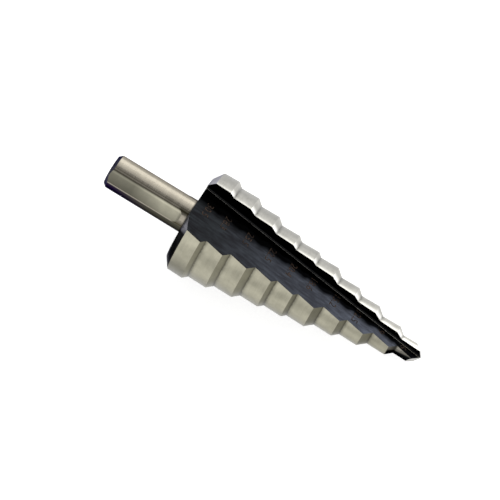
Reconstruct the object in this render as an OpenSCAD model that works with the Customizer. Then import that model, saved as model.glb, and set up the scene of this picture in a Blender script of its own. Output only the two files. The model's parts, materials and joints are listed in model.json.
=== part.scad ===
/* [Steps] */
// Diameter of the pilot, the smallest step
step_1_d = 6; // [5.5:0.1:7]
// Diameter of the second step
step_2_d = 9; // [8.5:0.1:9.5]
// Diameter of the third step
step_3_d = 12.5; // [11.5:0.1:13]
// Diameter of the fourth step
step_4_d = 15.2; // [14.5:0.1:16]
// Diameter of the fifth step
step_5_d = 18.6; // [17.5:0.1:19]
// Diameter of the sixth step
step_6_d = 20.4; // [20:0.1:21]
// Diameter of the seventh step
step_7_d = 22.5; // [22:0.1:23]
// Diameter of the eighth step
step_8_d = 25.5; // [24.5:0.1:26]
// Diameter of the ninth step
step_9_d = 28.3; // [27.5:0.1:29]
// Diameter of the tenth step, the largest
step_10_d = 30.5; // [30:0.1:32]
// Length of the pilot, up to where its point begins
pilot_l = 5.9; // [5:0.1:8]
// Length of the land on each step between the pilot and the largest step
land_l = 5.5; // [5:0.1:7]
// Length of the land on the largest step
largest_land_l = 4.6; // [4:0.1:7]
// Angle between the drill's axis and the cone that joins two steps
step_angle = 39; // [35:1:60]
// Fall in radius along each land, from its front edge back to its rear
back_taper = 0.1; // [0.05:0.05:0.2]
// Fall in radius round each land, from its cutting edge towards its heel
relief = 0.25; // [0.1:0.05:0.5]
// Length of the chamfer at the rear of the largest step
rear_chamfer_l = 1.9; // [1:0.05:3]
// Depth of that chamfer, measured across the axis
rear_chamfer_depth = 2.85; // [1.5:0.05:4]

/* [Flutes] */
// Distance of the cutting face behind the axis, as the drill turns, at the rear of the head
face_offset_rear = 4.2; // [3.5:0.1:4.5]
// Distance of the cutting face ahead of the axis at the tip, half of what the lips stand apart
face_lead_tip = 0.35; // [0.3:0.05:0.6]
// Distance from the axis to the flute's floor at the rear of the head
floor_offset_rear = 10.6; // [10:0.1:11.5]
// Distance from the axis to the flute's floor at the tip
floor_offset_tip = 0.8; // [0.5:0.05:1]
// Radius in the corner where the cutting face meets the floor
flute_corner_r = 0.5; // [0.2:0.05:0.6]

/* [Point] */
// Angle of the point, measured across both cutting lips
point_angle = 135; // [118:1:140]
// Clearance angle of the facet behind each cutting lip
lip_clearance = 12; // [8:1:15]
// Width of that facet, measured back from the cutting face
lip_facet_w = 0.45; // [0.4:0.05:1]
// Clearance angle of the second facet, which clears the heel
heel_clearance = 47; // [30:1:50]

/* [Shank] */
// Diameter of the shank
shank_d = 10; // [8:0.5:11]
// Length of the shank, from its end to the head
shank_l = 24.9; // [23:0.1:32]
// Number of flats that the chuck's jaws grip
flat_count = 3; // [3:1:4]
// Depth of each flat below the round of the shank
flat_depth = 0.4; // [0.2:0.05:0.6]
// Distance from the head to the place where a flat starts to run out
flat_stop = 3.5; // [3.2:0.1:8]
// Radius that the grinding wheel leaves where a flat runs out
flat_runout_r = 3; // [1:0.25:4]
// Angle round the axis from the floor of a flute to the nearest flat
flat_turn = 51.7; // [0:0.1:60]
// Length of the chamfer at the shank's end
end_chamfer_l = 1; // [0.5:0.05:1.5]
// Depth of that chamfer, measured across the axis
end_chamfer_depth = 0.85; // [0.4:0.05:1.2]
// Radius of the fillet where the shank meets the head
neck_fillet_r = 0.8; // [0.3:0.05:1]

/* [Hidden] */
$fn = 96;

steel = [0.66, 0.65, 0.60];
black_oxide = [0.10, 0.11, 0.13];

// Steps are numbered from 0 at the pilot to last_step at the rear
step_d = [
  step_1_d, step_2_d, step_3_d, step_4_d, step_5_d,
  step_6_d, step_7_d, step_8_d, step_9_d, step_10_d
];
last_step = len(step_d) - 1;

// Radius at the front edge of a step's land
function land_r(i) = step_d[i] / 2;

// Length of a step's land
function land_length(i) = i == 0 ? pilot_l : i == last_step ? largest_land_l : land_l;

// Length of the cone between a step and the next larger one
function cone_length(i) = (land_r(i + 1) - land_r(i)) / tan(step_angle);

// Places along the axis, measured from the end of the shank
function land_rear_z(i) =
  i == last_step ? shank_l + rear_chamfer_l : land_front_z(i + 1) + cone_length(i);
function land_front_z(i) = land_rear_z(i) + land_length(i);

point_l = land_r(0) / tan(point_angle / 2);
point_base_z = land_front_z(0);
drill_l = point_base_z + point_l;
head_l = drill_l - shank_l;
shank_r = shank_d / 2;
largest_r = land_r(last_step);

// Cutters reach this far past what they cut
clear = 2;
// The head has two sides and two flutes, half a turn apart
half_turns = [0, 180];
// The two ground sides of the head meet inside it, on a plane that misses both cutting edges
split_angle = 20;
// The head holds this much of the shank, so that they are one solid
seat = 1;
// A flat's cutter reaches this far outside the shank
flat_overcut = 0.3;

// The flute's corner runs in a straight line from the rear of the head to the tip
face_slope = (-face_lead_tip - face_offset_rear) / head_l;
floor_slope = (floor_offset_tip - floor_offset_rear) / head_l;
face_angle = atan(face_slope);
floor_angle = atan(floor_slope * cos(face_angle));
function face_x(z) = face_offset_rear + face_slope * (z - shank_l);
function floor_y(x, z) =
  let (across = x - face_offset_rear, along = z - shank_l)
  floor_offset_rear + tan(floor_angle) * (across * sin(face_angle) + along * cos(face_angle));

// Corners at the front of a step, on the two edges of the flute that faces +Y.
// Each land is ground round a centre that lies off the axis by the relief.
function ground_r(i) = land_r(i) - relief;
function cutting_corner(i) =
  let (z = land_front_z(i), x = face_x(z))
  [x, relief + sqrt(pow(ground_r(i), 2) - x * x), z];
function heel_corner(i) =
  let (
    z = land_front_z(i),
    height = floor_y(0, z) + relief,
    tilt = floor_y(1, z) - floor_y(0, z),
    square = 1 + tilt * tilt,
    x = -(height * tilt + sqrt(pow(ground_r(i), 2) * square - height * height)) / square
  )
  [x, floor_y(x, z), z];

// Point on the axis near which the drill balances, from its steps and shank as plain cylinders
function step_end_z(i) = i == 0 ? drill_l : land_rear_z(i - 1);
volumes = concat(
  [pow(shank_r, 2) * shank_l],
  [for (i = [0:last_step]) pow(land_r(i), 2) * (step_end_z(i) - land_rear_z(i))]
);
volume_middles = concat(
  [shank_l / 2],
  [for (i = [0:last_step]) (step_end_z(i) + land_rear_z(i)) / 2]
);
balance = [0, 0, volumes * volume_middles / (volumes * [for (v = volumes) 1])];

// The drill rests on three corners beside a flute: of the planes through three corners with
// no corner of either flute outside them, the one nearest to the balance point. A plane is a
// normal that points out of the drill and its distance from the middle of the shank's end.
function plane_through(a, b, c) =
  let (n = cross(b - a, c - a), unit = n / norm(n) * sign(n * a))
  [unit, unit * a];
function plane_gap(plane, point) = plane[1] - plane[0] * point;
touch_tolerance = 0.0001;
corners = [for (i = [0:last_step]) each [cutting_corner(i), heel_corner(i)]];
opposite_corners = [for (c = corners) [-c[0], -c[1], c[2]]];
all_corners = concat(corners, opposite_corners);
corner_count = len(corners);
rest_planes = [
  for (i = [0:corner_count - 3], j = [i + 1:corner_count - 2], k = [j + 1:corner_count - 1])
    let (plane = plane_through(corners[i], corners[j], corners[k]))
    if (min([for (c = all_corners) plane_gap(plane, c)]) > -touch_tolerance) plane
];
balance_height = min([for (plane = rest_planes) plane_gap(plane, balance)]);
rest_plane = [for (plane = rest_planes) if (plane_gap(plane, balance) == balance_height) plane][0];
rest_normal = rest_plane[0];
rest_height = rest_plane[1];
rest_pitch = asin(rest_normal[2]);
rest_roll = atan2(rest_normal[1], rest_normal[0]);

// Ends of the lying drill along X, measured from the middle of the shank's end
tip_x = drill_l * cos(rest_pitch);
end_x = -(shank_r - end_chamfer_depth) * sin(rest_pitch);

// Half outline of the head, from the middle of its rear face to the tip
module head_outline() {
  polygon(concat(
    [[0, shank_l], [ground_r(last_step) - rear_chamfer_depth, shank_l]],
    [for (i = [last_step:-1:0]) each [
      [ground_r(i) - back_taper, land_rear_z(i)],
      [ground_r(i), land_front_z(i)]
    ]],
    [[ground_r(0), drill_l], [0, drill_l]]
  ));
}

// One side of the head, turned round its own centre so that the lands fall away from their edges
module relieved_side() {
  side = largest_r + clear;
  intersection() {
    translate([0, relief, 0])
      rotate_extrude()
        head_outline();
    rotate([0, 0, split_angle])
      translate([0, -side, shank_l - clear])
        cube([side, 2 * side, head_l + 2 * clear]);
  }
}

// Section of a flute: a square corner with a small radius in it
module flute_section() {
  reach = 2 * largest_r;
  translate([-reach, flute_corner_r])
    square([reach, reach]);
  translate([-reach, 0])
    square([reach - flute_corner_r, reach]);
  translate([-flute_corner_r, flute_corner_r])
    circle(r = flute_corner_r);
}

// Flute that opens towards +Y, with its cutting face towards -X
module flute_cutter() {
  translate([face_offset_rear, floor_offset_rear, shank_l])
    rotate([-floor_angle, face_angle, 0])
      translate([0, 0, -clear])
        linear_extrude(height = head_l + 4 * clear)
          flute_section();
}

// Block above the plane that leaves one ground facet of the point, behind the lip along +Y
module facet_cutter(start_x, clearance) {
  block = 2 * step_1_d;
  tilt = atan(cos(clearance) / tan(point_angle / 2));
  translate([start_x, 0, drill_l - start_x * tan(lip_clearance)])
    rotate([-tilt, clearance, 0])
      translate([-block, -block, 0])
        cube([2 * block, 2 * block, block]);
}

module head() {
  difference() {
    for (turn = half_turns)
      rotate([0, 0, turn])
        color(steel)
          relieved_side();
    for (turn = half_turns)
      rotate([0, 0, turn]) {
        color(black_oxide)
          flute_cutter();
        color(steel) {
          facet_cutter(0, lip_clearance);
          facet_cutter(lip_facet_w - face_lead_tip, heel_clearance);
        }
      }
  }
}

// Half outline of the shank, with the chamfer at its end and the fillet at the head
module shank_outline() {
  fillet_x = shank_r + neck_fillet_r;
  fillet_z = shank_l - neck_fillet_r;
  difference() {
    polygon([
      [0, 0],
      [shank_r - end_chamfer_depth, 0],
      [shank_r, end_chamfer_l],
      [shank_r, fillet_z],
      [fillet_x, fillet_z],
      [fillet_x, shank_l + seat],
      [0, shank_l + seat]
    ]);
    translate([fillet_x, fillet_z])
      circle(r = neck_fillet_r);
  }
}

// Cutter for one flat, with the curve where the wheel leaves the shank
module flat_cutter() {
  flat_r = shank_r - flat_depth;
  flat_l = shank_l - flat_stop;
  rotate([90, 0, 0])
    linear_extrude(height = shank_d + clear, center = true)
      intersection() {
        translate([flat_r, -clear])
          square([flat_depth + flat_overcut, shank_l]);
        union() {
          translate([flat_r, -clear])
            square([shank_r, flat_l + clear]);
          translate([flat_r + flat_runout_r, flat_l])
            circle(r = flat_runout_r);
        }
      }
}

module shank() {
  color(steel)
    difference() {
      rotate_extrude()
        shank_outline();
      for (i = [0:flat_count - 1])
        rotate([0, 0, 90 + flat_turn + i * 360 / flat_count])
          flat_cutter();
    }
}

// The drill in one piece, lying with a flute down as it comes to rest, its tip towards +X
module step_drill() {
  translate([-(tip_x + end_x) / 2, 0, rest_height])
    rotate([0, 90 + rest_pitch, 0])
      rotate([0, 0, 180 - rest_roll])
        union() {
          head();
          shank();
        }
}

step_drill();
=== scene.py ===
import json
import math

import bmesh
import bpy
from mathutils import Matrix, Vector


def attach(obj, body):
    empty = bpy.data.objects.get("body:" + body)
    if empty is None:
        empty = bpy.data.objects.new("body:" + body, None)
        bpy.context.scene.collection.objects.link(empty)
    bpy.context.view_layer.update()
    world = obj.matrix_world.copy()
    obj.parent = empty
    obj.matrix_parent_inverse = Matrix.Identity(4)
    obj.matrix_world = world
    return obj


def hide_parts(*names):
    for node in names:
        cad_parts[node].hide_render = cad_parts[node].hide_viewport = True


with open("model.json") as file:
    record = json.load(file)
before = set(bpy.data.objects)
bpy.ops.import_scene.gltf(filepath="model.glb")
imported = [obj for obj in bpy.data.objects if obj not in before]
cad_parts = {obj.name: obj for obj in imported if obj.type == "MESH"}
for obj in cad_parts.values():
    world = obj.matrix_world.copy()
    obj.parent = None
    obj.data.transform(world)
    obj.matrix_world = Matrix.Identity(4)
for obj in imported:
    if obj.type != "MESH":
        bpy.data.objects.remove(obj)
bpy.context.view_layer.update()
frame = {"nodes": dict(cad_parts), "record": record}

MM = 0.001

# The drill's own frame: Z runs along its axis, from the middle of the shank's end to the tip, and
# +Y points out of the upper flute's floor. ROLL is how far it is turned about its axis as it lies.
ROLL = math.radians(109.201)
mounts = {mount["name"]: mount for mount in frame["record"]["mounts"]}
END = Vector(mounts["shank_end"]["pos_m"])
AXIS = -Vector(mounts["shank_end"]["axis"]).normalized()
PITCH = -math.asin(AXIS.z)
DRILL = (
    Matrix.Translation(END)
    @ Matrix.Rotation(math.pi / 2 + PITCH, 4, "Y")
    @ Matrix.Rotation(math.pi - ROLL, 4, "Z")
)
TURN = DRILL.to_3x3()

# Sizes as in the part's source
STEP_D = (6, 9, 12.5, 15.2, 18.6, 20.4, 22.5, 25.5, 28.3, 30.5)
PILOT_L = 5.9 * MM
LAND_L = 5.5 * MM
LARGEST_LAND_L = 4.6 * MM
STEP_ANGLE = math.radians(39)
REAR_CHAMFER_L = 1.9 * MM
FACE_REAR_X = 4.2 * MM
FACE_TIP_X = -0.35 * MM
DRILL_L = 97.67 * MM
SHANK_L = 24.9 * MM
SHANK_R = 5 * MM
NECK_FILLET_R = 0.8 * MM
END_CHAMFER_L = 1 * MM
FLAT_DEPTH = 0.4 * MM
FLAT_PITCH = math.radians(120)
FLAT_AROUND = math.radians(90 + 51.7)
FLAT_HALF = math.acos(1 - FLAT_DEPTH / SHANK_R)
FLAT_HALF_W = SHANK_R * math.sin(FLAT_HALF)

# Room for the mesh's own tolerance where a face is told by its place
HEAD_GAP = 0.05 * MM
PLACE_TOLERANCE = 0.02 * MM

# What tells the drill's surfaces apart: least or most of a face's unit normal that points along
# the axis, straight across it, or outwards from it
FACES_ALONG = 0.3
FACES_MOSTLY_ALONG = 0.5
FACES_ACROSS = 0.98
FLUTE_FLOOR_LEAN = 0.08
FLUTE_WALL_LEAN = 0.04
FLAT_LEAN = 0.001
LAND_OUTWARDS = 0.85
SHANK_OUTWARDS = 0.9

# Angles round the axis between which the pilot and the cone behind it take painted shade, black
# like oxide
PILOT_SHADE_FROM = math.radians(120)
PILOT_SHADE_TO = math.radians(275)

# Faces smaller than this lie along an edge, and are not taken for a flute's floor or wall
SLIVER_AREA = 0.05 * MM * MM

# Points nearer than SAME_POINT are one, faces that meet at less than SAME_PLANE are one, and
# edges above SHARP, or above FLAT_EDGE beside a flat, are not smoothed
SAME_POINT = 0.001 * MM
SAME_PLANE = math.radians(0.3)
SHARP = math.radians(35)
FLAT_EDGE = math.radians(12)

# Size numbers in the upper flute, on steps under SMALL_STEP_D nearer to the flute's middle
NUMBER_HEIGHT = 2.0 * MM
NUMBER_NARROWING = 0.88
NUMBER_DEPTH = 0.02 * MM
NUMBER_FROM_REAR = 1.7 * MM
NUMBER_X = -1.75 * MM
SMALL_NUMBER_X = -1.05 * MM
SMALL_STEP_D = 10

# Steel just behind a cutting edge, and further round towards the heel of its land
NEUTRAL = (0.400, 0.392, 0.360)
WARM = (0.365, 0.350, 0.272)

# Tint of black oxide's reflection in the flutes
FLUTE_TINT = (0.3, 0.3, 0.33)

# Angle round the axis, in the upper flute, from which places behind a cutting edge are counted
EDGE_AROUND = math.radians(100)

# Where the painted light and shade that change along the head start
TONES_REAR_Z = 27 * MM

GRIND_DEPTH = 0.003 * MM

# Camera, given in the drill's frame as the photograph shows it
VIEW_AROUND = math.radians(123.0)
VIEW_ALONG = math.radians(2.5)
AXIS_TILT = math.radians(31.37)
VIEW_DISTANCE = 1.0
PIXELS_PER_MM = 3.71
IMAGE_SIZE = 500
SENSOR = 36.0
AIM_Z = 50 * MM
AIM_PIXEL = (269.68, 265.77)

# Stage, in metres
FLOOR_HALF = 3.0
FLOOR_GLOW = 0.55
ZENITH = 0.45


def land_places():
    """Rear and front of each step's land along the axis, from the pilot to the largest step."""
    places = []
    rear = SHANK_L + REAR_CHAMFER_L
    last = len(STEP_D) - 1
    for step in range(last, -1, -1):
        length = PILOT_L if step == 0 else LARGEST_LAND_L if step == last else LAND_L
        front = rear + length
        places.insert(0, (rear, front))
        if step > 0:
            rear = front + (STEP_D[step] - STEP_D[step - 1]) / 2 * MM / math.tan(STEP_ANGLE)
    return places


LANDS = land_places()


def shade(colour, factor):
    return tuple(channel * factor for channel in colour)


def link(object_data, name, matrix=None):
    piece = bpy.data.objects.new(name, object_data)
    bpy.context.scene.collection.objects.link(piece)
    if matrix is not None:
        piece.matrix_world = matrix
    return piece


# Materials

class Shader:
    """A material's node tree, with short calls for the nodes that it needs."""

    def __init__(self, name):
        self.material = bpy.data.materials.new(name)
        self.material.use_nodes = True
        self.tree = self.material.node_tree
        self.surface = self.tree.nodes["Principled BSDF"]

    def node(self, kind, settings=None, **inputs):
        made = self.tree.nodes.new(kind)
        for key, value in (settings or {}).items():
            setattr(made, key, value)
        for key, value in inputs.items():
            self.put(made.inputs[key.replace("_", " ")], value)
        return made

    def put(self, socket, value):
        if isinstance(value, bpy.types.NodeSocket):
            self.tree.links.new(value, socket)
        else:
            socket.default_value = value

    # Numbers

    def math(self, operation, a, b=0.0):
        made = self.node("ShaderNodeMath", {"operation": operation})
        self.put(made.inputs[0], a)
        self.put(made.inputs[1], b)
        return made.outputs[0]

    def wrap(self, value, low, high):
        made = self.node("ShaderNodeMath", {"operation": "WRAP"})
        for socket, part in zip(made.inputs, (value, high, low)):
            self.put(socket, part)
        return made.outputs[0]

    def remap(self, value, low, high, to_low=0.0, to_high=1.0):
        return self.node("ShaderNodeMapRange", Value=value, From_Min=low, From_Max=high,
                         To_Min=to_low, To_Max=to_high).outputs["Result"]

    def band(self, value, middle, half_width):
        """1 where value is at middle, falling to 0 at half_width from it."""
        away = self.math("ABSOLUTE", self.math("SUBTRACT", value, middle))
        return self.remap(away, half_width, 0.0)

    def blended(self, a, b, share):
        """A share of a, and b for the rest."""
        return self.math("ADD", self.math("MULTIPLY", a, share),
                         self.math("MULTIPLY", b, 1 - share))

    # Places

    def position(self):
        """Place in the drill's frame, of a piece whose own frame is the floor's."""
        to_drill = DRILL.inverted()
        place = self.node("ShaderNodeTexCoord").outputs["Object"]
        return self.node("ShaderNodeMapping", Vector=place, Location=to_drill.translation,
                         Rotation=to_drill.to_euler("XYZ")).outputs["Vector"]

    def axes(self):
        return self.node("ShaderNodeSeparateXYZ", Vector=self.position()).outputs

    def around(self):
        """Angle round the drill's axis."""
        axes = self.axes()
        return self.math("ARCTAN2", axes["Y"], axes["X"])

    def behind_edge(self):
        """Angle round the axis from ahead of a cutting edge back over the land that follows it."""
        return self.wrap(self.math("SUBTRACT", EDGE_AROUND, self.around()), 0.0, math.pi)

    def from_flute_middle(self):
        """Distance from the middle of the nearer flute, positive on its cutting edge's side."""
        axes = self.axes()
        return self.math("MULTIPLY", axes["X"], self.math("SIGN", axes["Y"]))

    def from_flute_corner(self):
        """Distance from the corner of the nearer flute, positive over its floor and negative
        behind its cutting edge."""
        corner = self.remap(self.axes()["Z"], SHANK_L, DRILL_L, FACE_REAR_X, FACE_TIP_X)
        return self.math("SUBTRACT", corner, self.from_flute_middle())

    def edge_highlight(self, starts, full):
        """Painted highlight: a brighter rim beside a cutting edge, from 0 at starts behind the edge
        to 1 at full.
        """
        near = self.remap(self.from_flute_corner(), -starts, -full)
        this_side = self.remap(self.behind_edge(), math.radians(62), math.radians(50))
        return self.math("MULTIPLY", near, this_side)

    def towards_heel(self):
        """0 behind a cutting edge, rising to 1 further round its land: the share of the warmer tone
        and of the painted shade towards the heel.
        """
        return self.remap(self.behind_edge(), math.radians(60), math.radians(95))

    def along_head(self, place, stops):
        """Ramp along the head through stops, each a place and a value."""
        ramp = self.node("ShaderNodeValToRGB", Fac=self.remap(place, SHANK_L, DRILL_L))
        elements = ramp.color_ramp.elements
        elements.remove(elements[1])
        for number, (z, value) in enumerate(stops):
            position = (z - SHANK_L) / (DRILL_L - SHANK_L)
            element = elements.new(position) if number else elements[0]
            element.position = position
            element.color = (value, value, value, 1)
        return ramp.outputs["Color"]

    # Noise

    def noise(self, scale, detail=4.0, roughness=0.6):
        """Noise in the drill's frame, with its own scale along each axis, in features a metre."""
        stretched = self.node("ShaderNodeVectorMath", {"operation": "MULTIPLY"})
        self.put(stretched.inputs[0], self.position())
        self.put(stretched.inputs[1], scale)
        made = self.node("ShaderNodeTexNoise", Vector=stretched.outputs[0],
                         Scale=1.0, Detail=detail, Roughness=roughness)
        return made.outputs["Fac"]

    def sway(self, scale, reach):
        """Noise that sways by reach to either side of 0."""
        return self.math("MULTIPLY", self.math("SUBTRACT", self.noise(scale), 0.5), 2 * reach)

    def swaying_z(self):
        """Place along the axis, swayed by noise, to give the painted corner shade an uneven edge.
        """
        return self.math("ADD", self.axes()["Z"], self.sway((700, 700, 300), 0.12 * MM))

    # Colours and the surface

    def mix(self, factor, a, b, blend="MIX"):
        made = self.node("ShaderNodeMix", {"data_type": "RGBA", "blend_type": blend})
        self.put(made.inputs["Factor"], factor)
        self.put(made.inputs["A"], (*a, 1) if isinstance(a, tuple) else a)
        self.put(made.inputs["B"], (*b, 1) if isinstance(b, tuple) else b)
        return made.outputs["Result"]

    def scaled(self, colour, factor):
        grey = self.node("ShaderNodeCombineColor", Red=factor, Green=factor, Blue=factor)
        return self.mix(1.0, colour, grey.outputs["Color"], "MULTIPLY")

    def scaled_where(self, mask, colour, factor):
        """Colour as it is where mask is 0, and times factor where it is 1."""
        return self.scaled(colour, self.remap(mask, 0, 1, 1, factor))

    def roughness(self, value):
        self.put(self.surface.inputs["Roughness"], value)

    def tint(self, colour):
        """Tint of the metal's reflection where it is seen at a low angle."""
        self.surface.inputs["Specular Tint"].default_value = (*colour, 1)

    def grained(self, pattern, smooth, rough):
        """Fine relief after a pattern, and a roughness that follows it from smooth to rough."""
        relief = self.node("ShaderNodeBump", Height=pattern, Distance=GRIND_DEPTH)
        self.put(self.surface.inputs["Normal"], relief.outputs["Normal"])
        self.roughness(self.remap(pattern, 0.3, 0.7, smooth, rough))

    def ground(self, colour, grain_scale, contrast, roughness):
        """Colour of steel with the fine lines of a grinding wheel and a cloudy tone."""
        grain = self.noise(grain_scale)
        clouds = self.noise((330, 330, 330))
        self.grained(grain, roughness - 0.05, roughness + 0.07)
        tone = self.blended(grain, clouds, 0.35)
        return self.scaled(colour, self.remap(tone, 0.36, 0.64, 1 - contrast, 1 + contrast))

    def finish(self, colour):
        self.put(self.surface.inputs["Base Color"], colour)
        self.surface.inputs["Metallic"].default_value = 1.0
        return self.material


def out_of_corner(reach):
    """Stops of a ramp that rises from 0 to 1 over reach, from the corner at the rear of each land
    but the largest, which has none."""
    stops = []
    for rear, front in reversed(LANDS):
        stops += [(rear, 0.0 if stops else 1.0), (rear + reach, 1.0), (front, 1.0)]
    return stops


def into_corner(reach):
    """Stops of a ramp over each cone, from 1 at its rear to 0 in the corner at its front, most of
    the way within reach of the corner."""
    stops = []
    for behind, ahead in zip(reversed(LANDS), reversed(LANDS[:-1])):
        front, corner = behind[1], ahead[0]
        stops += [(front, 1.0), (corner - reach, 0.9), (corner, 0.0)]
    return stops


def by_cutting_edge(shader, colour, z):
    """A land's colour with painted shade over its middle, deepest on the larger steps, a painted
    highlight by its cutting edge, and painted shade just behind that.
    """
    # Painted shade over the middle of the land
    between = shader.band(shader.behind_edge(), math.radians(60), math.radians(42))
    shade_factor = shader.remap(z, 74 * MM, 84 * MM, 0.64, 0.90)
    colour = shader.scaled_where(between, colour, shade_factor)
    # Painted highlight by the cutting edge
    rim = shader.edge_highlight(starts=0.8 * MM, full=0.4 * MM)
    colour = shader.scaled_where(rim, colour, 1.25)
    # Painted shade just behind the highlight
    behind_rim = shader.band(shader.from_flute_corner(), -1.4 * MM, 0.9 * MM)
    return shader.scaled_where(behind_rim, colour, 0.86)


def by_rear_corner(shader, colour):
    """A land's colour with painted shade in the corner at its rear: soft, with a broken dark line.
    """
    place = shader.swaying_z()
    # Painted shade: a broken dark line in the corner, and a softer shade out of it
    in_corner = shader.remap(shader.along_head(place, out_of_corner(0.35 * MM)), 1, 0)
    broken = shader.remap(shader.noise((1500, 1500, 1500)), 0.44, 0.56, 0, 0.55)
    shade_line = shader.math("MULTIPLY", in_corner, broken)
    colour = shader.scaled(colour, shader.math("SUBTRACT", 1.0, shade_line))
    past_shade = shader.along_head(place, out_of_corner(0.9 * MM))
    return shader.scaled(colour, shader.remap(past_shade, 0, 1, 0.58, 1))


def land_steel():
    """Ground land, neutral behind its cutting edge and warmer towards its heel, with a painted
    highlight by the edge, stronger towards the tip and on the pilot, and painted shade towards the
    heel.
    """
    shader = Shader("ground_land")
    towards_heel = shader.towards_heel()
    colour = shader.ground(shader.mix(towards_heel, NEUTRAL, WARM),
                           grain_scale=(120, 120, 3200), contrast=0.14, roughness=0.34)
    z = shader.axes()["Z"]
    pilot_rear = LANDS[0][0]
    # Painted highlight by the cutting edge, growing towards the tip and on the pilot
    on_pilot = shader.remap(z, pilot_rear - 0.2 * MM, pilot_rear + 0.2 * MM, 0, 0.3)
    edge_light = shader.math("ADD", shader.remap(z, TONES_REAR_Z, 90 * MM, 0.80, 1.04), on_pilot)
    # Painted shade towards the heel: round the largest land, and deeper towards the tip on the
    # others
    on_largest = shader.remap(shader.behind_edge(), math.radians(96), math.radians(125),
                              0.48, 1.08)
    on_others = shader.remap(z, 72 * MM, 88 * MM, 0.94, 0.79)
    largest_front = LANDS[-1][1]
    heel_shade = shader.remap(z, largest_front, largest_front + 1.0 * MM, on_largest, on_others)
    colour = shader.scaled(colour, shader.remap(towards_heel, 0, 1, edge_light, heel_shade))
    return shader.finish(by_rear_corner(shader, by_cutting_edge(shader, colour, z)))


def cone_steel():
    """Ground cone between two steps, with painted shade towards its heel, deeper towards the tip,
    a painted highlight by its cutting edge, and painted shade darkening into the corner at its
    front."""
    shader = Shader("ground_cone")
    towards_heel = shader.towards_heel()
    # Painted shade: a darker colour towards the heel
    heel_shade = (0.190, 0.181, 0.131)
    colour = shader.ground(shader.mix(towards_heel, shade(NEUTRAL, 0.95), heel_shade),
                           grain_scale=(160, 160, 3200), contrast=0.12, roughness=0.40)
    # Painted shade towards the heel, deeper towards the tip
    shade_factor = shader.remap(shader.axes()["Z"], 42 * MM, 66 * MM, 1.0, 0.68)
    colour = shader.scaled_where(towards_heel, colour, shade_factor)
    # Painted highlight by the cutting edge
    rim = shader.edge_highlight(starts=2.2 * MM, full=0.6 * MM)
    bright = (0.90, 0.89, 0.85)
    colour = shader.mix(rim, colour, bright)
    # Painted shade into the corner at the front
    past_corner = shader.along_head(shader.swaying_z(), into_corner(0.45 * MM))
    return shader.finish(shader.scaled(colour, shader.remap(past_corner, 0, 1, 0.42, 1)))


def flat_steel():
    """Flat of the shank, with painted light and shade: darker at the shank's end and towards its
    lower edge, with a painted dark line and a painted highlight along its upper edge."""
    shader = Shader("ground_flat")
    colour = shader.ground(shade(WARM, 0.90),
                           grain_scale=(900, 900, 160), contrast=0.09, roughness=0.32)
    axes = shader.axes()
    across = shader.math("SUBTRACT", shader.math("MULTIPLY", axes["Y"], math.cos(FLAT_AROUND)),
                         shader.math("MULTIPLY", axes["X"], math.sin(FLAT_AROUND)))
    upper_edge, lower_edge = -FLAT_HALF_W, FLAT_HALF_W
    # Painted highlight along the upper edge
    highlight_line = shader.band(across, -1.3 * MM, 0.35 * MM)
    colour = shader.scaled_where(highlight_line, colour, 1.30)
    # Painted shade, darker at the shank's end and towards the lower edge
    from_end = shader.remap(axes["Z"], 8 * MM, 17 * MM, 0.50, 1.08)
    from_upper_edge = shader.remap(across, upper_edge, lower_edge, 1.0, 0.52)
    colour = shader.scaled(colour, shader.math("MULTIPLY", from_end, from_upper_edge))
    # Painted shade: a dark line along the upper edge
    shade_line = shader.remap(across, upper_edge + 0.15 * MM, upper_edge + 0.35 * MM, 0.30, 1.0)
    return shader.finish(shader.scaled(colour, shade_line))


def lower_side_shade(shader, colour, from_flat, sway, z):
    """Painted shade on the lower side: a dark band over the round between the first flat and the
    next, bluest by the end.
    """
    starts = shader.remap(shader.math("ADD", from_flat, sway), FLAT_HALF + 0.03, FLAT_HALF + 0.10)
    next_flat = FLAT_PITCH - FLAT_HALF
    ends = shader.remap(from_flat, next_flat, next_flat - 0.1)
    by_end, by_head = (0.016, 0.011, 0.026), (0.050, 0.048, 0.036)
    shade_tint = shader.mix(shader.remap(z, 3 * MM, 15 * MM), by_end, by_head)
    return shader.mix(shader.math("MULTIPLY", starts, ends), colour, shade_tint)


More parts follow.
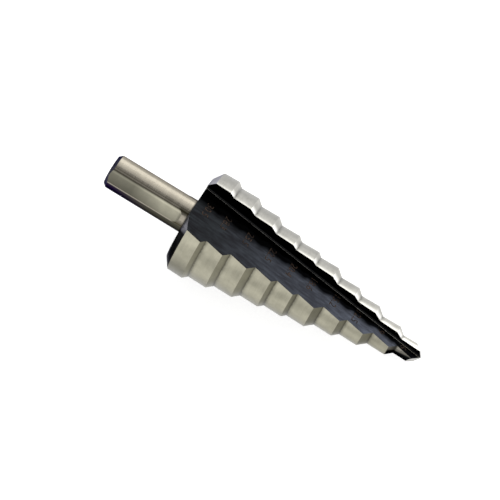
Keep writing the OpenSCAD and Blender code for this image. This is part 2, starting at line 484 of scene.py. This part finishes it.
def shank_steel():
    """Round of the shank, with painted shade between the flats that trims its highlight, two dark
    lines of painted reflection beside each flat, painted shade in the corners at the flat's end,
    a dark band of painted shade on its lower side, and painted shade at the neck."""
    shader = Shader("ground_shank")
    shader.tint((0.35, 0.35, 0.38))
    colour = shader.ground((0.283, 0.259, 0.212),
                           grain_scale=(110, 110, 2600), contrast=0.09, roughness=0.22)
    from_flat = shader.wrap(shader.math("SUBTRACT", shader.around(), FLAT_AROUND),
                            -math.pi, math.pi)
    beside = shader.wrap(from_flat, -FLAT_PITCH / 2, FLAT_PITCH / 2)
    # Painted shade along the round between flats, trimming the highlight
    shade_between_flats = shader.band(beside, math.radians(-44), math.radians(12))
    colour = shader.scaled_where(shade_between_flats, colour, 0.70)
    sway = shader.sway((900, 900, 60), 0.02)
    # Two dark lines of painted reflection beside each flat
    line_half, reflection_brown = 0.036, (0.056, 0.046, 0.022)
    for from_edge, strength in ((0.145, 0.70), (0.018, 0.85)):
        line = shader.band(shader.math("ADD", beside, sway), -FLAT_HALF - from_edge, line_half)
        colour = shader.mix(shader.math("MULTIPLY", line, strength), colour, reflection_brown)
    z = shader.axes()["Z"]
    # Painted shade in the corners at the flat's end
    by_flat_edge = shader.band(shader.math("ABSOLUTE", beside), FLAT_HALF, 0.22)
    by_flat_end = shader.remap(z, 20.8 * MM, 21.8 * MM)
    corners = shader.math("MULTIPLY", by_flat_edge, by_flat_end)
    corner_shade_brown = (0.040, 0.035, 0.018)
    colour = shader.mix(corners, colour, corner_shade_brown)
    # Painted shade on the lower side
    colour = lower_side_shade(shader, colour, from_flat, sway, z)
    # Painted shade at the neck
    neck = SHANK_L - NECK_FILLET_R
    neck_shade = shader.remap(z, neck - 0.1 * MM, neck + 0.3 * MM, 1, 0.35)
    return shader.finish(shader.scaled(colour, neck_shade))


def oxide(shader, towards_tip):
    """Colour of black oxide: semi-gloss, streaked along the drill, bluer and lighter at the tip."""
    streaks = shader.noise((1900, 1900, 45), detail=5.0)
    clouds = shader.noise((300, 300, 110), detail=3.0)
    shader.grained(streaks, 0.10, 0.17)
    dark = shader.mix(towards_tip, (0.008, 0.008, 0.009), (0.033, 0.036, 0.045))
    light = shader.mix(towards_tip, (0.015, 0.017, 0.019), (0.066, 0.073, 0.092))
    tone = shader.blended(streaks, clouds, 0.6)
    return shader.mix(shader.remap(tone, 0.42, 0.60), dark, light)


def wall_reflection_width(shader, z):
    """How far the painted dark reflection of the wall reaches from a flute's corner: less towards
    the tip, more again over the pilot, and growing along each step."""
    stops = [stop for rear, front in reversed(LANDS) for stop in ((rear, 0.0), (front, 1.0))]
    teeth = shader.along_head(z, stops)
    width = shader.math("ADD", shader.remap(z, TONES_REAR_Z, 91 * MM, 5.2 * MM, 1.4 * MM),
                        shader.math("MULTIPLY", teeth, 0.6 * MM))
    on_pilot = shader.remap(z, 89.5 * MM, 91 * MM, 0, 1.2 * MM)
    return shader.math("ADD", width, on_pilot)


def flute_oxide():
    """Floor of a flute, black oxide with a painted dark reflection of the wall, nearly black by its
    corner.
    """
    shader = Shader("black_flute")
    shader.tint(FLUTE_TINT)
    z = shader.axes()["Z"]
    colour = oxide(shader, shader.remap(z, 32 * MM, 92 * MM))
    # Painted dark reflection of the wall, by the flute's corner
    swaying = shader.math("ADD", shader.from_flute_corner(),
                          shader.sway((500, 500, 420), 0.4 * MM))
    past = shader.math("SUBTRACT", swaying, wall_reflection_width(shader, z))
    softness = shader.remap(z, TONES_REAR_Z, 75 * MM, 1.3 * MM, 0.5 * MM)
    open_floor = shader.math("DIVIDE", past, softness)
    return shader.finish(shader.scaled(colour, shader.remap(open_floor, -1, 1, 0.03, 1)))


def wall_oxide():
    """Wall of a flute, which ends in its cutting edges."""
    shader = Shader("black_wall")
    shader.tint(FLUTE_TINT)
    return shader.finish(shader.scaled(oxide(shader, 0.0), 0.7))


def pilot_shade():
    """Lower land of the pilot and the cone behind it, in painted shade: black like oxide, with
    steel by the heel that darkens into the corner at the pilot's rear.
    """
    shader = Shader("pilot_painted_shade")
    shader.tint((0.10, 0.10, 0.12))
    rear, front = LANDS[0]
    z = shader.axes()["Z"]
    # Painted shade, black like oxide, up to this angle behind the cutting edge; worn is 1 on the
    # steel beyond it
    shade_to = shader.remap(z, rear, front, math.radians(112), math.radians(128))
    past = shader.math("SUBTRACT", shader.behind_edge(), shade_to)
    worn = shader.remap(past, math.radians(-5), math.radians(5))
    # Painted shade on the steel, darkest in the corner at the pilot's rear
    level = shader.along_head(z, ((LANDS[1][1], 0.55), (rear - 0.3 * MM, 0.12),
                                  (rear, 0.15), (rear + 0.4 * MM, 1.0)))
    steel = shader.scaled((0.190, 0.180, 0.155), level)
    return shader.finish(shader.mix(worn, shader.scaled(oxide(shader, 0.0), 0.4), steel))


def point_steel():
    """Faces of the point, ground bright."""
    shader = Shader("ground_point")
    return shader.finish(shader.ground(shade(NEUTRAL, 0.85), grain_scale=(900, 900, 900),
                                       contrast=0.08, roughness=0.34))


def flute_root():
    """The flute's corner, where the wheel's edge has worn the oxide thin."""
    shader = Shader("flute_root")
    shader.roughness(0.3)
    worn = shader.remap(shader.noise((900, 900, 90)), 0.35, 0.65)
    return shader.finish(shader.mix(worn, (0.005, 0.005, 0.006), (0.011, 0.011, 0.011)))


def rear_oxide():
    """Rear of the head: black oxide, with painted highlights beside the edges of each land,
    brightest by the cutting edge."""
    shader = Shader("black_rear")
    shader.tint((0.25, 0.25, 0.28))
    clouds = shader.noise((420, 420, 420))
    shader.grained(clouds, 0.28, 0.40)
    axes = shader.axes()
    # Painted highlight beside the edges of each land
    square_x = shader.math("MULTIPLY", axes["X"], axes["X"])
    square_y = shader.math("MULTIPLY", axes["Y"], axes["Y"])
    across = shader.math("DIVIDE", square_x, shader.math("ADD", square_x, square_y))
    heel_side = shader.remap(shader.from_flute_middle(), 2.5 * MM, -3.5 * MM)
    edge = shader.math("ADD", across, shader.math("MULTIPLY", clouds, 0.12))
    edge = shader.math("ADD", edge, shader.math("MULTIPLY", heel_side, 0.13))
    highlight_mask = shader.remap(edge, 0.84, 0.72)
    black = (0.022, 0.022, 0.022)
    # Colour of the painted highlight, brightest by the cutting edge
    bright = shader.mix(heel_side, (0.53, 0.53, 0.56), (0.22, 0.22, 0.24))
    return shader.finish(shader.mix(highlight_mask, black, bright))


def end_oxide():
    """Chamfer and face at the shank's end, dark navy."""
    shader = Shader("black_end")
    shader.tint((0.3, 0.3, 0.36))
    clouds = shader.noise((500, 500, 500))
    shader.grained(clouds, 0.3, 0.42)
    patches = shader.remap(clouds, 0.35, 0.65)
    return shader.finish(shader.mix(patches, (0.020, 0.020, 0.034), (0.055, 0.054, 0.075)))


def etched_copper():
    """Brown of an etched number, broken up where the etch is thin."""
    shader = Shader("etched_copper")
    shader.tint((0.3, 0.3, 0.3))
    shader.roughness(0.45)
    patches = shader.remap(shader.noise((1500, 1500, 1500), detail=3.0), 0.38, 0.62)
    return shader.finish(shader.mix(patches, (0.010, 0.008, 0.007), (0.048, 0.032, 0.024)))


def make_materials():
    return {
        "land": land_steel(),
        "cone": cone_steel(),
        "shank": shank_steel(),
        "flat": flat_steel(),
        "flute": flute_oxide(),
        "wall": wall_oxide(),
        "pilot": pilot_shade(),
        "point": point_steel(),
        "root": flute_root(),
        "rear": rear_oxide(),
        "end": end_oxide(),
    }


# The drill

def shank_surface(middle, normal, outwards):
    """Which surface of the shank a face lies on."""
    if middle.z < END_CHAMFER_L:
        return "end"
    from_axis = normal.xy.dot(middle.xy)
    on_flat = abs(from_axis - (SHANK_R - FLAT_DEPTH)) < PLACE_TOLERANCE
    if abs(normal.z) < FLAT_LEAN and on_flat:
        return "flat"
    is_round = outwards > SHANK_OUTWARDS and middle.xy.length > SHANK_R - PLACE_TOLERANCE
    return "shank" if is_round else "flat"


def head_surface(middle, normal, outwards, is_broad):
    """Which surface of the head a face lies on."""
    if normal.z < -FACES_ALONG:
        return "rear"
    if is_broad and abs(normal.y) > FACES_ACROSS and abs(normal.z) > FLUTE_FLOOR_LEAN:
        return "flute"
    if is_broad and abs(normal.x) > FACES_ACROSS and abs(normal.z) > FLUTE_WALL_LEAN:
        return "wall"
    if outwards < LAND_OUTWARDS and normal.z < FACES_MOSTLY_ALONG:
        return "root"
    if middle.z > LANDS[0][0] and normal.z > FACES_ALONG:
        return "point"
    around = math.atan2(middle.y, middle.x) % (2 * math.pi)
    # Painted shade on the lower side of the pilot and the cone behind it
    if middle.z > LANDS[1][1] and PILOT_SHADE_FROM < around < PILOT_SHADE_TO:
        return "pilot"
    return "cone" if normal.z > FACES_ALONG else "land"


def surface_of(face):
    """Which surface of the drill a face lies on, from its place and direction in its frame."""
    middle = face.calc_center_median()
    normal = face.normal
    away = Vector((middle.x, middle.y, 0)).normalized()
    outwards = Vector((normal.x, normal.y, 0)).normalized().dot(away)
    if middle.z < SHANK_L - HEAD_GAP:
        return shank_surface(middle, normal, outwards)
    return head_surface(middle, normal, outwards, face.calc_area() > SLIVER_AREA)


def drill_mesh(materials):
    """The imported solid's mesh with whole faces and materials, and a point and the normal of the
    upper flute's floor in the drill's frame."""
    mesh = frame["nodes"]["step_drill"].data.copy()
    mesh.transform(DRILL.inverted())
    mesh.materials.clear()
    slots = list(materials)
    for key in slots:
        mesh.materials.append(materials[key])
    work = bmesh.new()
    work.from_mesh(mesh)
    bmesh.ops.remove_doubles(work, verts=work.verts, dist=SAME_POINT)
    bmesh.ops.dissolve_limit(work, angle_limit=SAME_PLANE, verts=work.verts, edges=work.edges)
    work.normal_update()
    floors = []
    for face in work.faces:
        surface = surface_of(face)
        face.material_index = slots.index(surface)
        face.smooth = True
        if surface == "flute" and face.normal.y > 0:
            floors.append(face)
    for edge in work.edges:
        if len(edge.link_faces) != 2:
            continue
        beside_flat = slots.index("flat") in [face.material_index for face in edge.link_faces]
        edge.smooth = edge.calc_face_angle(0) <= (FLAT_EDGE if beside_flat else SHARP)
    floor = max(floors, key=lambda face: face.calc_area())
    point, normal = floor.calc_center_median().copy(), floor.normal.copy()
    work.to_mesh(mesh)
    work.free()
    mesh.transform(DRILL)
    mesh.name = "ground_drill"
    return mesh, point, normal


def number_glyphs(text):
    """Closed mesh of a number, a size unit high, with its middle at the origin."""
    curve = bpy.data.curves.new("number", "FONT")
    curve.body = text
    curve.extrude = 1
    curve.resolution_u = 3
    writing = link(curve, "number")
    evaluated = writing.evaluated_get(bpy.context.evaluated_depsgraph_get())
    glyphs = bpy.data.meshes.new_from_object(evaluated)
    bpy.data.objects.remove(writing)
    bpy.data.curves.remove(curve)
    xs = [vertex.co.x for vertex in glyphs.vertices]
    ys = [vertex.co.y for vertex in glyphs.vertices]
    middle = Vector(((min(xs) + max(xs)) / 2, (min(ys) + max(ys)) / 2, 0))
    height = max(ys) - min(ys)
    glyphs.transform(Matrix.Diagonal((1 / height, 1 / height, 1, 1)) @ Matrix.Translation(-middle))
    return glyphs


def size_numbers(point, normal):
    """Hole diameters on the floor of the upper flute, each by the rear of its step's land."""
    up = (Vector((0, 0, 1)) - normal * normal.z).normalized()
    right = up.cross(normal)
    axes = Matrix((right, up, normal)).transposed().to_4x4()
    size = Matrix.Diagonal((NUMBER_HEIGHT * NUMBER_NARROWING, NUMBER_HEIGHT, NUMBER_DEPTH, 1))
    work = bmesh.new()
    for diameter, land in zip(STEP_D, LANDS):
        x = SMALL_NUMBER_X if diameter < SMALL_STEP_D else NUMBER_X
        z = land[0] + NUMBER_FROM_REAR
        y = point.y - (normal.x * (x - point.x) + normal.z * (z - point.z)) / normal.y
        glyphs = number_glyphs(f"{diameter:g}")
        glyphs.transform(DRILL @ Matrix.Translation((x, y, z)) @ axes @ size)
        work.from_mesh(glyphs)
        bpy.data.meshes.remove(glyphs)
    bmesh.ops.remove_doubles(work, verts=work.verts, dist=SAME_POINT)
    mesh = bpy.data.meshes.new("size_numbers")
    work.to_mesh(mesh)
    work.free()
    mesh.materials.clear()
    mesh.materials.append(etched_copper())
    return mesh


# Stage

def direction(around, above):
    """Unit vector at an angle round the Z axis and an angle above the XY plane."""
    return Vector((
        math.cos(above) * math.cos(around),
        math.cos(above) * math.sin(around),
        math.sin(above),
    ))


def add_camera():
    """Camera that sees the drill as the photograph does."""
    toward = direction(VIEW_AROUND, VIEW_ALONG)
    side = Vector((0, 0, 1)).cross(toward).normalized()
    along = toward.cross(side)
    right = along * math.cos(AXIS_TILT) - side * math.sin(AXIS_TILT)
    down = along * math.sin(AXIS_TILT) + side * math.cos(AXIS_TILT)
    pixel = MM / PIXELS_PER_MM
    middle = IMAGE_SIZE / 2
    aim = (
        Vector((0, 0, AIM_Z))
        - right * (AIM_PIXEL[0] - middle) * pixel
        - down * (AIM_PIXEL[1] - middle) * pixel
    )
    data = bpy.data.cameras.new("camera")
    data.sensor_width = SENSOR
    data.lens = PIXELS_PER_MM / MM * VIEW_DISTANCE * SENSOR / IMAGE_SIZE
    data.clip_start = 0.05
    data.clip_end = 20
    basis = Matrix((right, -down, toward)).transposed()
    place = DRILL @ (aim + toward * VIEW_DISTANCE)
    camera = link(data, "camera", Matrix.Translation(place) @ (TURN @ basis).to_4x4())
    bpy.context.scene.camera = camera


def add_floor():
    """Plain floor that looks white and still takes the drill's shadow."""
    mesh = bpy.data.meshes.new("floor")
    corners = [(x * FLOOR_HALF, y * FLOOR_HALF, 0)
               for x, y in ((-1, -1), (1, -1), (1, 1), (-1, 1))]
    mesh.from_pydata(corners, [], [(0, 1, 2, 3)])
    shader = Shader("floor")
    path = shader.node("ShaderNodeLightPath").outputs
    seen = shader.math("MAXIMUM", path["Is Camera Ray"],
                       shader.math("MAXIMUM", path["Is Glossy Ray"], path["Is Transmission Ray"]))
    shader.surface.inputs["Base Color"].default_value = (0.8, 0.8, 0.8, 1)
    shader.surface.inputs["Roughness"].default_value = 1.0
    shader.surface.inputs["Specular IOR Level"].default_value = 0.0
    shader.surface.inputs["Emission Color"].default_value = (1, 1, 1, 1)
    glow = shader.math("MULTIPLY", seen, FLOOR_GLOW)
    shader.put(shader.surface.inputs["Emission Strength"], glow)
    mesh.materials.append(shader.material)
    link(mesh, "floor")


def add_world():
    """White at the horizon and darker overhead, as between the softboxes of a studio."""
    world = bpy.data.worlds.new("world")
    bpy.context.scene.world = world
    world.use_nodes = True
    tree = world.node_tree
    sky = tree.nodes.new("ShaderNodeTexCoord")
    axes = tree.nodes.new("ShaderNodeSeparateXYZ")
    tree.links.new(sky.outputs["Generated"], axes.inputs[0])
    ramp = tree.nodes.new("ShaderNodeValToRGB")
    horizon, zenith = ramp.color_ramp.elements
    horizon.position = 0.0
    horizon.color = (1, 1, 1, 1)
    zenith.position = 1.0
    zenith.color = (ZENITH, ZENITH, ZENITH, 1)
    tree.links.new(axes.outputs["Z"], ramp.inputs["Fac"])
    tree.links.new(ramp.outputs["Color"], tree.nodes["Background"].inputs["Color"])


def add_softbox(name, around, above, size, radiance):
    """A lamp a metre away that faces the drill, as bright as radiance wherever it is mirrored."""
    width, height = size
    data = bpy.data.lights.new(name, "AREA")
    data.shape = "RECTANGLE"
    data.size = width
    data.size_y = height
    data.energy = math.pi * width * height * radiance
    away = direction(math.radians(around), math.radians(above))
    place = Matrix.Translation(away) @ away.to_track_quat("Z", "Y").to_matrix().to_4x4()
    lamp = link(data, name, place)
    lamp.visible_camera = False


# The scene

def main():
    mesh, floor_point, floor_normal = drill_mesh(make_materials())
    drill = link(mesh, "drill")
    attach(drill, "root")
    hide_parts("step_drill")

    numbers = link(size_numbers(floor_point, floor_normal), "size_numbers")
    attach(numbers, "root")

    add_camera()
    add_floor()
    add_world()
    add_softbox("key_softbox", around=85, above=16, size=(1.6, 0.55), radiance=1.9)
    add_softbox("upper_softbox", around=85, above=47, size=(1.4, 0.5), radiance=1.4)
    add_softbox("fill_softbox", around=-88, above=45, size=(1.2, 0.7), radiance=0.8)

    bpy.context.scene.view_settings.view_transform = "Standard"


main()
